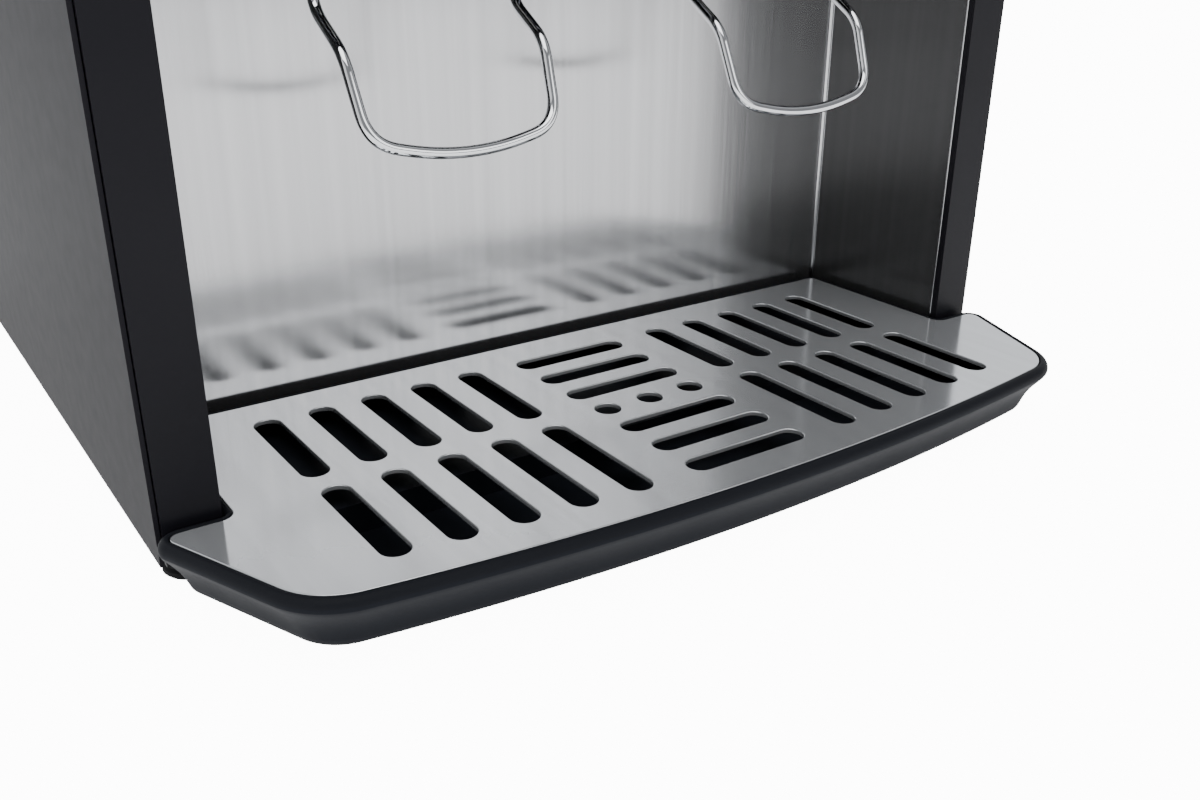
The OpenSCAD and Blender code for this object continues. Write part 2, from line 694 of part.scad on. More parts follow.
module power_board() {
    color("#1f5b3a") {
        box([-132, 196, 262], [-70, 197.6, 372]);
        box([-126, 174, 270], [-92, 196 + eps, 304]);
        box([-122, 178, 318], [-108, 196 + eps, 332]);
        box([-100, 178, 318], [-86, 196 + eps, 332]);
        along_y([-82, 176, 350], 6, 20 + eps);
        along_y([-98, 176, 350], 6, 20 + eps);
        for (x = [-128, -74]) for (z = [266, 368])
            along_y([x, 197.5, z], 2.5, back_y - sheet - 197.5);
    }
}

// ---- Rear connections --------------------------------------------------------------------------
socket_c = [-106, 208];
switch_x = [-68, -46];
rocker_axis_y = back_y - 4;
module power_inlet() {
    color("#141416") difference() {
        union() {
            box([power_lo.x, back_y, power_lo.y], [power_hi.x, back_y + 2, power_hi.y]);
            box([power_lo.x + 2.3, back_y - 22, power_lo.y + 2.3], [power_hi.x - 2.3, back_y + eps, power_hi.y - 2.3]);
        }
        difference() {
            box([socket_c.x - 12.2, back_y - 15, socket_c.y - 8.2], [socket_c.x + 12.2, back_y + 5, socket_c.y + 8.2]);
            for (i = [-1:1])
                box([socket_c.x - 1 + 7 * i, back_y - 16, socket_c.y - 2 + 3 * (1 - abs(i))],
                    [socket_c.x + 1 + 7 * i, back_y - 2, socket_c.y + 2 + 3 * (1 - abs(i))]);
        }
        for (x = switch_x)
            box([x - 7.4, back_y - 14, socket_c.y - 11.4], [x + 7.4, back_y + 5, socket_c.y + 11.4]);
    }
}
rocker_tilt = 8;
rocker_profile = [[-10.4, 3.2], [-4, 5.2], [4, 5.2], [10.4, 3.2], [9.4, -4], [4, -6.5], [-4, -6.5], [-9.4, -4]];
module rocker(x) {
    translate([x - 6.8, rocker_axis_y, socket_c.y]) rotate([rocker_tilt, 0, 0]) rotate([0, 90, 0])
        linear_extrude(13.6) polygon(rocker_profile);
    along_x([x - 7.35, rocker_axis_y, socket_c.y], 1.6, 14.7);
}
module switch_hot() {
    color("#a83030") rocker(switch_x[0]);
}
module switch_cold() {
    color("#2f6fb0") rocker(switch_x[1]);
}
tube_r = 3.25;
module inlet_fitting() {
    color("#e9e9e6") difference() {
        union() {
            along_y([inlet_x, back_y - 26, inlet_z], 8, 26);
            along_y([inlet_x, back_y, inlet_z], 10, 2);
            along_y([inlet_x, back_y, inlet_z], 7, 6);
            along_y([inlet_x, back_y - sheet - 6.2, inlet_z], 12, 6);
            box([inlet_x - 11, back_y - 52, inlet_z - 11], [inlet_x + 11, back_y - 25.5, inlet_z + 20]);
            along_y([inlet_x, back_y - 62, inlet_z], 4, 12);
        }
        along_y([inlet_x, back_y - 12, inlet_z], tube_r, 30);
    }
}

// Hoses: straight runs joined by bends, held at both ends
hose_r = 4;
module hose(points, reach) {
    tube(route(points, [for (i = [1:len(points) - 2]) reach], 4), hose_r, 8);
}
module inlet_hose() {
    color("#dcdcd8") hose([[inlet_x, back_y - 62.2, inlet_z], [inlet_x, back_y - 78, inlet_z], [140, 132, 90],
                           [140, 132, 180], [108, 128, 215], [108, 128, 251], [80.2, 128, 251]], 12);
}
module feed_hose() {
    color("#dcdcd8") hose([[0, 91.8, 251], [0, 80, 251], [6, 84, 290], [6, 84, 429], [-30, 40, 431], [-73, 0, 431],
                           [-73, 0, 421.2]], 8);
}
module cold_hose() {
    color("#dcdcd8") hose([[cold_c.x, cold_c.y - 80.2, 290], [cold_c.x, cold_c.y - 102, 290], [-tap_x, riser_y, 272],
                           [-tap_x, riser_y, spigot_z + 0.2]], 8);
}
module hot_hose() {
    color("#dcdcd8") hose([[hot_c.x, hot_c.y - 54.2, 290], [hot_c.x, hot_c.y - 76, 290], [tap_x, riser_y, 272],
                           [tap_x, riser_y, spigot_z + 0.2]], 8);
}
module case_screws() {
    color("#c8c9cc") both_sides() for (z = screw_z) {
        along_y([screw_x, back_y - 7, z], 1.95, 7 + eps);
        difference() {
            along_y([screw_x, back_y, z], 3.6, 2.2);
            for (a = [0, 90])
                translate([screw_x, back_y + 1.7, z]) rotate([0, a, 0]) cube([4.4, 2, 0.9], center = true);
        }
    }
}

base_pan();
rubber_feet();
side_panel_left();
side_panel_right();
back_panel();
rear_bumpers();
top_cover();
post_left();
post_right();
header();
fascia();
control_window();
button_hot();
button_cold();
button_light();
control_board();
alcove_back();
alcove_side_left();
alcove_side_right();
alcove_ceiling();
drip_tray();
drip_grille();
tap_housing();
lever_bracket();
pivot_pins();
lever_hub_left();
lever_hub_right();
wire_lever_left();
wire_lever_right();
valve_body_left();
valve_body_right();
nozzle_left();
nozzle_right();
plunger_left();
plunger_right();
valve_spring_left();
valve_spring_right();
filter_lid();
filter_manifold();
filter_sediment();
filter_carbon();
equipment_shelf();
cold_tank();
cold_jacket();
hot_tank();
band_heater();
compressor();
condenser();
fan_shroud();
fan_rotor();
power_board();
power_inlet();
switch_hot();
switch_cold();
inlet_fitting();
inlet_hose();
feed_hose();
cold_hose();
hot_hose();
case_screws();
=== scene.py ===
"""Looks of a countertop water dispenser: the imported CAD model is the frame, detailed pieces stand on it."""
import json
import math

import bmesh
import bpy
from mathutils import Matrix, Vector


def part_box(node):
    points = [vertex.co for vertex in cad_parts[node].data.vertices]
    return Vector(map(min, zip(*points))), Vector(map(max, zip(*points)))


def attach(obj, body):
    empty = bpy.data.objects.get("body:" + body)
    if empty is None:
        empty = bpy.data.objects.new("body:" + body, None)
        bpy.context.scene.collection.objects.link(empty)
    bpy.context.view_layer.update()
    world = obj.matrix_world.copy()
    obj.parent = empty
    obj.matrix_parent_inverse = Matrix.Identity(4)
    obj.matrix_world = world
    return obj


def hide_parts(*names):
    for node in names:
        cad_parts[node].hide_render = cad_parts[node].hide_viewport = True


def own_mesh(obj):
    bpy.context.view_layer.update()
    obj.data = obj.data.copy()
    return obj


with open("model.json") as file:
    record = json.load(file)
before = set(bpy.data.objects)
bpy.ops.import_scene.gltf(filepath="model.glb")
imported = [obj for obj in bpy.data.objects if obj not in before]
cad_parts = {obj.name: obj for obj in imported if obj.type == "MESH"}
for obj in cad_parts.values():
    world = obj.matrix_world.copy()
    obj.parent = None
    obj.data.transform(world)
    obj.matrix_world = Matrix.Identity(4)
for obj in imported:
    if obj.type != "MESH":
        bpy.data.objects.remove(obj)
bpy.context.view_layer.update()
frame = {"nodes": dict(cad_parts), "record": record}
NODES = frame["nodes"]
MM = 0.001


# ---- Measures taken from the frame ---------------------------------------------------------------
def lo(node):
    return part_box(node)[0]


def hi(node):
    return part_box(node)[1]


FRONT = lo("post_left").y                  # front face of the posts
PLATE_TOP = hi("drip_grille").z
PLATE_BOTTOM = lo("drip_grille").z
PLATE_FRONT = lo("drip_grille").y
PLATE_BACK = hi("drip_grille").y
TRAY_FRONT = lo("drip_tray").y
TRAY_BACK = hi("drip_tray").y
TRAY_LOW = lo("drip_tray").z
TRAY_TOP = hi("drip_tray").z
POST_INNER = lo("post_right").x


# ---- Camera, lights and floor --------------------------------------------------------------------
def add_camera():
    data = bpy.data.cameras.new("camera")
    data.sensor_width = 36
    data.lens = 34.68
    data.clip_start = 0.01
    cam = bpy.data.objects.new("camera", data)
    bpy.context.scene.collection.objects.link(cam)
    place = Vector((-0.2095, -0.4223, 0.1676))
    target = Vector((0.0275, -0.0833, -0.0096))
    roll = math.radians(0.324)
    aim = (target - place).to_track_quat("-Z", "Y").to_matrix().to_4x4()
    cam.matrix_world = Matrix.Translation(place) @ aim @ Matrix.Rotation(roll, 4, "Z")
    bpy.context.scene.camera = cam


def area_light(name, place, target, size, power):
    data = bpy.data.lights.new(name, "AREA")
    data.shape = "RECTANGLE"
    data.size, data.size_y = size
    data.energy = power
    lamp = bpy.data.objects.new(name, data)
    bpy.context.scene.collection.objects.link(lamp)
    lamp.location = place
    lamp.rotation_euler = (Vector(target) - Vector(place)).to_track_quat("-Z", "Y").to_euler()


def add_world():
    """Soft light from all round, brightest from behind the object."""
    world = bpy.data.worlds.new("studio")
    world.use_nodes = True
    tree = world.node_tree
    background = tree.nodes["Background"]
    background.inputs["Color"].default_value = (0.95, 0.97, 1.0, 1)
    split = tree.nodes.new("ShaderNodeSeparateXYZ")
    tree.links.new(tree.nodes.new("ShaderNodeTexCoord").outputs["Generated"], split.inputs["Vector"])
    ramp = tree.nodes.new("ShaderNodeMapRange")
    ramp.interpolation_type = "SMOOTHSTEP"
    for key, value in (("From Min", -0.5), ("From Max", 0.5), ("To Min", 0.27), ("To Max", 1.15)):
        ramp.inputs[key].default_value = value
    tree.links.new(split.outputs["Y"], ramp.inputs["Value"])
    tree.links.new(ramp.outputs["Result"], background.inputs["Strength"])
    bpy.context.scene.world = world


def add_lights():
    middle = (0, -0.1, 0.1)
    area_light("top_softbox", (-0.3, -0.7, 1.7), middle, (1.6, 1.2), 17)
    area_light("left_softbox", (-1.6, -0.8, 0.7), middle, (1.2, 1.2), 3)
    area_light("front_fill", (0.7, -1.9, 0.9), middle, (1.2, 0.9), 7)


def add_floor():
    """A pale floor that glows softly onto the object and shows as plain white paper."""
    mesh = bpy.data.meshes.new("floor")
    half = 40
    corners = [(-half, -half, 0), (half, -half, 0), (half, half, 0), (-half, half, 0)]
    mesh.from_pydata(corners, [], [(0, 1, 2, 3)])
    floor = bpy.data.objects.new("floor", mesh)
    bpy.context.scene.collection.objects.link(floor)
    floor.location.z = -0.0002
    mat = bpy.data.materials.new("floor")
    mat.use_nodes = True
    nodes = mat.node_tree.nodes
    surface = nodes["Principled BSDF"]
    surface.inputs["Base Color"].default_value = (0.93, 0.93, 0.93, 1)
    surface.inputs["Roughness"].default_value = 0.9
    surface.inputs["Emission Color"].default_value = (1, 1, 1, 1)
    glow = nodes.new("ShaderNodeMapRange")
    glow.inputs["To Min"].default_value = 0.75
    glow.inputs["To Max"].default_value = 12
    path = nodes.new("ShaderNodeLightPath")
    mat.node_tree.links.new(path.outputs["Is Camera Ray"], glow.inputs["Value"])
    mat.node_tree.links.new(glow.outputs["Result"], surface.inputs["Emission Strength"])
    mat.cycles.emission_sampling = "NONE"
    mesh.materials.append(mat)


# ---- Materials -----------------------------------------------------------------------------------
class Shader:
    """A material's shader and short ways to build its nodes."""

    def __init__(self, name, **constants):
        self.material = bpy.data.materials.new(name)
        self.material.use_nodes = True
        self.tree = self.material.node_tree
        self.shader = self.tree.nodes["Principled BSDF"]
        for key, value in constants.items():
            self.set(key.replace("_", " "), value)
        coords = self.tree.nodes.new("ShaderNodeTexCoord")
        self.place = coords.outputs["Object"]

    def set(self, socket, value):
        value = (*value, 1) if isinstance(value, tuple) and len(value) == 3 else value
        self.shader.inputs[socket].default_value = value

    def link(self, output, node, socket):
        self.tree.links.new(output, node.inputs[socket])

    def noise(self, scale, stretch=(1, 1, 1), detail=3.0, roughness=0.5):
        mapping = self.tree.nodes.new("ShaderNodeMapping")
        mapping.inputs["Scale"].default_value = stretch
        self.link(self.place, mapping, "Vector")
        node = self.tree.nodes.new("ShaderNodeTexNoise")
        node.inputs["Scale"].default_value = scale
        node.inputs["Detail"].default_value = detail
        node.inputs["Roughness"].default_value = roughness
        self.link(mapping.outputs["Vector"], node, "Vector")
        return node.outputs["Fac"]

    def spread(self, value, low, high):
        """The noise's usual range, 0.25 to 0.75, becomes low to high."""
        node = self.tree.nodes.new("ShaderNodeMapRange")
        node.inputs["From Min"].default_value = 0.25
        node.inputs["From Max"].default_value = 0.75
        node.inputs["To Min"].default_value = low
        node.inputs["To Max"].default_value = high
        self.link(value, node, "Value")
        return node.outputs["Result"]

    def mix_colours(self, factor, first, second):
        node = self.tree.nodes.new("ShaderNodeMix")
        node.data_type = "RGBA"
        node.inputs["A"].default_value = (*first, 1)
        node.inputs["B"].default_value = (*second, 1)
        self.link(factor, node, "Factor")
        return node.outputs["Result"]

    def bump(self, height, strength, distance):
        node = self.tree.nodes.new("ShaderNodeBump")
        node.inputs["Strength"].default_value = strength
        node.inputs["Distance"].default_value = distance
        self.link(height, node, "Height")
        self.link(node.outputs["Normal"], self.shader, "Normal")


def brushed_metal(name, light, dark, stretch, rough, bump, spread=0.0, metal=1.0):
    """Linear brushed steel. stretch is small along the grain. spread draws reflections out across the grain,
    along the u axis of the piece's "grain" map."""
    m = Shader(name, Metallic=metal, Anisotropic=spread)
    if spread:
        tangent = m.tree.nodes.new("ShaderNodeTangent")
        tangent.direction_type = "UV_MAP"
        tangent.uv_map = "grain"
        m.link(tangent.outputs["Tangent"], m.shader, "Tangent")
    grain = m.noise(2400, stretch, 2, 0.6)
    broad = m.noise(260, stretch, 3)
    blotch = m.noise(9, (1, 1, 1), 2)
    m.link(m.mix_colours(m.spread(broad, 0, 1), dark, light), m.shader, "Base Color")
    total = m.tree.nodes.new("ShaderNodeMath")
    total.operation = "ADD"
    m.link(m.spread(grain, rough[0], rough[1]), total, 0)
    m.link(m.spread(blotch, -0.015, 0.015), total, 1)
    m.link(total.outputs["Value"], m.shader, "Roughness")
    if bump:
        m.bump(grain, bump, 0.00006)
    return m.material


def moulded_plastic(name, light, dark, rough, texture=1500, bump=0.15, coat=0.0, gloss=0.5):
    m = Shader(name, Coat_Weight=coat, Coat_Roughness=0.08, Specular_IOR_Level=gloss)
    patches = m.noise(14, (1, 1, 1), 4)
    grain = m.noise(texture, (1, 1, 1), 2)
    m.link(m.mix_colours(m.spread(patches, 0, 1), dark, light), m.shader, "Base Color")
    m.link(m.spread(m.noise(40, (1, 1, 1), 5), rough[0], rough[1]), m.shader, "Roughness")
    m.bump(grain, bump, 0.00005)
    return m.material


def painted_steel(name, light, dark, rough, peel=0.12, gloss=0.4):
    m = Shader(name, Specular_IOR_Level=gloss)
    m.link(m.mix_colours(m.spread(m.noise(60, (1, 1, 1), 3), 0, 1), dark, light), m.shader, "Base Color")
    m.link(m.spread(m.noise(160, (1, 1, 1), 4), rough[0], rough[1]), m.shader, "Roughness")
    m.bump(m.noise(420, (1, 1, 1), 2), peel, 0.00008)
    return m.material


def polished_metal(name, light, dark, rough):
    m = Shader(name, Metallic=1.0)
    m.link(m.mix_colours(m.spread(m.noise(80), 0, 1), dark, light), m.shader, "Base Color")
    m.link(m.spread(m.noise(300, (1, 1, 1), 4), rough[0], rough[1]), m.shader, "Roughness")
    return m.material


def circuit_board(name):
    m = Shader(name, Coat_Weight=0.3, Coat_Roughness=0.2)
    tracks = m.noise(260, (1, 1, 6), 1)
    greens = m.mix_colours(m.spread(tracks, 0, 1), (0.01, 0.09, 0.035), (0.03, 0.2, 0.08))
    m.link(greens, m.shader, "Base Color")
    m.link(m.spread(m.noise(100), 0.3, 0.5), m.shader, "Roughness")
    m.bump(tracks, 0.3, 0.0001)
    return m.material


def foam(name):
    m = Shader(name)
    cells = m.noise(700, (1, 1, 1), 3, 0.8)
    creams = m.mix_colours(m.spread(cells, 0, 1), (0.72, 0.72, 0.69), (0.9, 0.9, 0.87))
    m.link(creams, m.shader, "Base Color")
    m.link(m.spread(cells, 0.8, 0.95), m.shader, "Roughness")
    m.bump(cells, 0.6, 0.0003)
    return m.material


MATERIALS = {
    "brushed": brushed_metal("brushed_upright", (0.6, 0.605, 0.615), (0.55, 0.555, 0.565), (1, 1, 0.01),
                             (0.14, 0.2), 0.08),
    "wall": brushed_metal("brushed_wall", (0.62, 0.62, 0.63), (0.53, 0.53, 0.54), (1, 1, 0.008),
                          (0.16, 0.21), 0.04, 0.9, 0.95),
    "plate": brushed_metal("brushed_plate", (0.755, 0.775, 0.795), (0.685, 0.7, 0.72), (1, 0.012, 1),
                           (0.1, 0.14), 0, 0.5, 0.72),
    "dark_wall": brushed_metal("brushed_dark", (0.078, 0.078, 0.079), (0.068, 0.068, 0.069), (1, 1, 0.008),
                               (0.22, 0.26), 0.03, 0.85, 0.55),
    "dark_brushed": brushed_metal("brushed_lining", (0.1, 0.1, 0.102), (0.085, 0.085, 0.087), (1, 1, 0.01),
                                  (0.2, 0.28), 0.05),
    "chrome_wire": polished_metal("chrome", (0.86, 0.87, 0.89), (0.78, 0.79, 0.81), (0.04, 0.1)),
    "zinc": polished_metal("zinc", (0.66, 0.67, 0.7), (0.5, 0.51, 0.53), (0.28, 0.42)),
    "fin_aluminium": polished_metal("aluminium", (0.75, 0.76, 0.78), (0.6, 0.61, 0.63), (0.35, 0.5)),
    "heater_brass": polished_metal("brass", (0.6, 0.46, 0.22), (0.45, 0.34, 0.16), (0.25, 0.4)),
    "grey_paint": painted_steel("grey_paint", (0.014, 0.0136, 0.0168), (0.0133, 0.0129, 0.016),
                                (0.44, 0.47), 0.05, 0.05),
    "dark_steel": painted_steel("dark_paint", (0.03, 0.03, 0.032), (0.022, 0.022, 0.024), (0.4, 0.5), 0.25),
    "cast_black": painted_steel("black_enamel", (0.02, 0.02, 0.022), (0.012, 0.012, 0.014), (0.3, 0.45)),
    "black_satin": moulded_plastic("black_satin", (0.0096, 0.0092, 0.0124), (0.0074, 0.0072, 0.01),
                                   (0.3, 0.4), 1500, 0.1, 0, 0.12),
    "black_gloss": moulded_plastic("black_gloss", (0.008, 0.008, 0.01), (0.005, 0.005, 0.007),
                                   (0.12, 0.2), 800, 0.03, 0.4, 0.4),
    # tray_plastic and the skin plastic below are one plastic in two tones: the skin's lighter colour is
    # painted light from the floor, and the rim's darker colour is painted shade.
    "tray_plastic": moulded_plastic("tray_plastic", (0.0125, 0.0135, 0.017), (0.01, 0.011, 0.014),
                                    (0.46, 0.54), 1500, 0.05, 0, 0.06),
    "tray_skin": moulded_plastic("tray_skin", (0.0135, 0.015, 0.0195), (0.0115, 0.013, 0.017),
                                 (0.4, 0.48), 1500, 0.05, 0, 0.04),
    "rubber": moulded_plastic("rubber", (0.012, 0.012, 0.013), (0.008, 0.008, 0.009), (0.6, 0.75),
                              900, 0.35, 0, 0.1),
    "red_plastic": moulded_plastic("red_plastic", (0.5, 0.03, 0.02), (0.42, 0.025, 0.018), (0.25, 0.35)),
    "blue_plastic": moulded_plastic("blue_plastic", (0.03, 0.14, 0.45), (0.025, 0.11, 0.38), (0.25, 0.35)),
    "grey_plastic": moulded_plastic("grey_plastic", (0.36, 0.36, 0.37), (0.3, 0.3, 0.31), (0.35, 0.45)),
    "white_plastic": moulded_plastic("white_plastic", (0.78, 0.78, 0.75), (0.72, 0.72, 0.69), (0.35, 0.48)),
    "hose_white": moulded_plastic("hose_white", (0.8, 0.8, 0.77), (0.7, 0.7, 0.67), (0.3, 0.4)),
    "board_green": circuit_board("circuit_board"),
    "foam": foam("foam"),
}
SLOT_OF = {part["node"]: part["material_slot"] for part in frame["record"]["subparts"]}


def dress(obj, material):
    obj.data.materials.clear()
    obj.data.materials.append(MATERIALS[material])


def smooth_by_angle(obj, degrees=35):
    """Smooth faces with sharp edges kept. Only edge and face flags change."""
    for face in obj.data.polygons:
        face.use_smooth = True
    obj.data.set_sharp_from_angle(angle=math.radians(degrees))


def bevel(obj, width, segments=3):
    edge = obj.modifiers.new("edge", "BEVEL")
    edge.width = width
    edge.segments = segments
    edge.limit_method = "ANGLE"
    edge.angle_limit = math.radians(40)
    edge.harden_normals = True
    edge.use_clamp_overlap = True


TUBES = {"inlet_hose", "feed_hose", "cold_hose", "hot_hose"}
EDGE_WIDTH = {  # mm
    "post_left": 0.8, "post_right": 0.8, "header": 0.8, "fascia": 0.9, "top_cover": 1.6,
    "side_panel_left": 0.4, "side_panel_right": 0.4, "filter_lid": 1.0, "tap_housing": 0.7,
    "control_window": 0.25, "button_hot": 0.5, "button_cold": 0.5, "button_light": 0.5,
    "power_inlet": 0.3, "switch_hot": 0.4, "switch_cold": 0.4, "lever_hub_left": 0.3,
    "lever_hub_right": 0.3, "rubber_feet": 0.2, "rear_bumpers": 0.5, "nozzle_left": 0.2,
    "nozzle_right": 0.2,
}


def dress_cad():
    for name, obj in NODES.items():
        dress(obj, SLOT_OF[name])
        smooth_by_angle(obj, 75 if name in TUBES else 35)
        if name in EDGE_WIDTH:
            bevel(obj, EDGE_WIDTH[name] * MM)


# ---- Shape helpers -------------------------------------------------------------------------------
def new_object(name, mesh):
    obj = bpy.data.objects.new(name, mesh)
    bpy.context.scene.collection.objects.link(obj)
    return obj


def grain_map(mesh, across, along):
    """A map whose u axis runs across the grain. Axes are 0, 1, 2 for x, y, z."""
    layer = mesh.uv_layers.new(name="grain")
    for loop in mesh.loops:
        place = mesh.vertices[loop.vertex_index].co
        layer.data[loop.index].uv = (place[across], place[along])


def apply_curve(curve_obj, name):
    """Turns a curve object into a mesh object."""
    depsgraph = bpy.context.evaluated_depsgraph_get()
    mesh = bpy.data.meshes.new_from_object(curve_obj.evaluated_get(depsgraph))
    bpy.data.objects.remove(curve_obj)
    mesh.name = name
    return new_object(name, mesh)


def arc(centre, radius, start, end, steps):
    angles = [math.radians(start + (end - start) * i / steps) for i in range(steps + 1)]
    return [(centre[0] + radius * math.cos(a), centre[1] + radius * math.sin(a)) for a in angles]


def quad_bend(before, corner, after, reach, steps):
    """A smooth bend that leaves and meets the straight runs at reach from the corner."""
    p = corner + (before - corner).normalized() * reach
    q = corner + (after - corner).normalized() * reach
    shares = (i / steps for i in range(steps + 1))
    return [p * (1 - u) ** 2 + corner * 2 * u * (1 - u) + q * u * u for u in shares]


def route(points, reach, steps):
    """A path through points with each inner corner bent over its own reach."""
    path = [points[0]]
    for i in range(1, len(points) - 1):
        path += quad_bend(points[i - 1], points[i], points[i + 1], reach[i - 1], steps)
    return path + [points[-1]]


def wire_along(name, points, radius, sides=8):
    """A round wire through points, with closed ends."""
    data = bpy.data.curves.new(name, "CURVE")
    data.dimensions = "3D"
    data.bevel_depth = radius
    data.bevel_resolution = sides
    data.use_fill_caps = True
    spline = data.splines.new("POLY")
    spline.points.add(len(points) - 1)
    for point, place in zip(spline.points, points):
        point.co = (*place, 1)
    obj = apply_curve(new_object(name, data), name)
    smooth_by_angle(obj, 50)
    return obj


# ---- Outline shared by the plate and the tray ----------------------------------------------------
# In metres from the middle of the posts' front face; grow moves the outline outwards.
BOW_R = 0.869
CORNER_R = 0.02
SIDE_ANGLE = math.radians(22.5)
REACH = FRONT - PLATE_FRONT
WING_X = 0.1552
WING_Y = -0.0038
WING_R = 0.003
PLATE_HALF = POST_INNER - 0.0026
PLATE_DEEP = PLATE_BACK - FRONT
SIDE_N = Vector((math.cos(SIDE_ANGLE), -math.sin(SIDE_ANGLE)))
SIDE_D = Vector((math.sin(SIDE_ANGLE), math.cos(SIDE_ANGLE)))
SIDE_K = SIDE_N.dot(Vector((WING_X, WING_Y)))
BOW_C = Vector((0, BOW_R - REACH))


def corner_centre():
    """The middle of the arc that joins the bowed front to the angled side."""
    foot = SIDE_N * (SIDE_K - CORNER_R)
    along = BOW_C.dot(SIDE_D)
    run = along - math.sqrt(along ** 2 + (BOW_R - CORNER_R) ** 2 - (foot - BOW_C).length_squared)
    return foot + SIDE_D * run


CORNER_C = corner_centre()
BOW_END = math.degrees(math.atan2(CORNER_C.y - BOW_C.y, CORNER_C.x))


def side_x(grow, y):
    """How far out the angled side is at depth y."""
    return (SIDE_K + grow + math.sin(SIDE_ANGLE) * y) / math.cos(SIDE_ANGLE)


def front_edge(grow):
    """The bowed front and one rounded corner, from the middle to the right."""
    bow = arc(BOW_C, BOW_R + grow, -90, BOW_END, 24)
    return bow + arc(CORNER_C, CORNER_R + grow, BOW_END, -math.degrees(SIDE_ANGLE), 14)[1:]


def both_halves(half):
    """The closed outline from its right half, which starts at the middle of the front."""
    return [Vector((x, y + FRONT)) for x, y in half + [(-x, y) for x, y in reversed(half[1:])]]


def wing(grow, y, radius):
    """The rounded corner between an angled side and a straight rear edge at depth y."""
    return arc((side_x(grow - radius, y - radius), y - radius), radius, -math.degrees(SIDE_ANGLE), 90, 9)


def plate_outline(grow, rear_share=1.0, notch=0.004, rear=0.003):
    """The plate's edge, moved outwards by grow, and by a share of grow behind the posts' front face. notch is
    the bend round each post and rear the corner at the back."""
    behind = grow * rear_share
    half = front_edge(grow) + wing(grow, WING_Y + grow, WING_R + grow)
    bend = [math.radians(270 - 9 * i) for i in range(11)]
    half += [(PLATE_HALF + notch + (notch - behind) * math.cos(a),
              WING_Y + notch + (notch - grow) * math.sin(a)) for a in bend]
    half += arc((PLATE_HALF - rear, PLATE_DEEP - rear), rear + behind, 0, 90, 8)
    return both_halves(half)


# ---- Drip grille: a plate with rolled slot edges -------------------------------------------------
SLOT_R = 0.0042
SLOT_PITCH = 0.0175
FIRST_SLOT = 0.0392


def stadium(x, y, length, upright):
    """A slot with round ends, which runs front to back if upright."""
    half = length / 2 - SLOT_R
    loop = arc((half, 0), SLOT_R, -90, 90, 12) + arc((-half, 0), SLOT_R, 90, 270, 12)
    if upright:
        loop = [(-b, a) for a, b in loop]
    return [Vector((x + a, y + b + FRONT)) for a, b in loop]


def slot_loops():
    loops = []
    for i in range(5):
        for side in (-1, 1):
            x = side * (FIRST_SLOT + SLOT_PITCH * i)
            near = -0.0523 + BOW_R - math.sqrt(BOW_R ** 2 - x ** 2)
            loops.append(stadium(x, 0.0285, 0.045, True))
            loops.append(stadium(x, (near - 0.0016) / 2, -0.0016 - near, True))
    for y in (0.0455, 0.0297, 0.0139, -0.0157, -0.0316, -0.0473):
        loops.append(stadium(0, y, 0.043, False))
    for i in (-1, 0, 1):
        loops.append([Vector((x, y + FRONT)) for x, y in arc((i * 0.0165, -0.0007), SLOT_R, 0, 345, 23)])
    return loops


def make_grille():
    data = bpy.data.curves.new("grille_plate", "CURVE")
    data.dimensions = "2D"
    data.fill_mode = "BOTH"
    roll = 0.0003
    data.bevel_depth = roll
    data.bevel_resolution = 4
    data.extrude = (PLATE_TOP - PLATE_BOTTOM) / 2 - roll
    data.offset = -roll
    for loop in [plate_outline(0)] + slot_loops():
        spline = data.splines.new("POLY")
        spline.points.add(len(loop) - 1)
        spline.use_cyclic_u = True
        for point, place in zip(spline.points, loop):
            point.co = (*place, 0, 1)
    obj = apply_curve(new_object("grille_plate", data), "grille_plate")
    obj.data.transform(Matrix.Translation((0, 0, (PLATE_TOP + PLATE_BOTTOM) / 2)))
    smooth_by_angle(obj, 28)
    grain_map(obj.data, 1, 0)
    dress(obj, "plate")
    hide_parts("drip_grille")
    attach(obj, "drip_grille")


# ---- Drip tray: a moulded shell with a rolled lip and a cove under it ----------------------------
POST_GAP = 0.0005
WALL = 0.0022
FLOOR = 0.0015
SEAT_GAP = 0.0003
RIM_DEPTH = 0.0028                         # from the plate's top down to the rim's parting line
SLIDE_HALF = POST_INNER - 0.0004           # half the width of the part that slides between the posts
JOIN = 0.012                               # how far the rear block reaches into the front part
REAR_WALL = 0.005


def tray_ring(grow, z, back=POST_GAP):
    """The front part's outline at one height, closed behind by a straight edge at the posts."""
    half = front_edge(grow) + wing(grow, -back, WING_R + max(grow, 0.001))
    inner = (SLIDE_HALF, -back)
    ring = half + [inner] + [(-x, y) for x, y in [inner] + list(reversed(half[1:]))]
    return [Vector((x, y + FRONT, z)) for x, y in ring]


def loft(bm, rings):
    """Skin through rings of equal count, closed at both ends."""
    rows = [[bm.verts.new(p) for p in ring] for ring in rings]
    count = len(rows[0])
    for low, high in zip(rows, rows[1:]):
        for i in range(count):
            j = (i + 1) % count
            bm.faces.new((low[i], low[j], high[j], high[i]))
    bm.faces.new(list(reversed(rows[0])))
    bm.faces.new(rows[-1])


def solid(name, rings):
    bm = bmesh.new()
    loft(bm, rings)
    bmesh.ops.recalc_face_normals(bm, faces=bm.faces)
    mesh = bpy.data.meshes.new(name)
    bm.to_mesh(mesh)
    bm.free()
    return new_object(name, mesh)


def combine(target, tool, operation):
    """Joins tool to target, or cuts it away, and removes it."""
    mod = target.modifiers.new(operation, "BOOLEAN")
    mod.operation = operation
    mod.solver = "EXACT"
    mod.object = tool
    depsgraph = bpy.context.evaluated_depsgraph_get()
    mesh = bpy.data.meshes.new_from_object(target.evaluated_get(depsgraph))
    target.modifiers.clear()
    old = target.data
    target.data = mesh
    bpy.data.meshes.remove(old)
    bpy.data.objects.remove(tool)


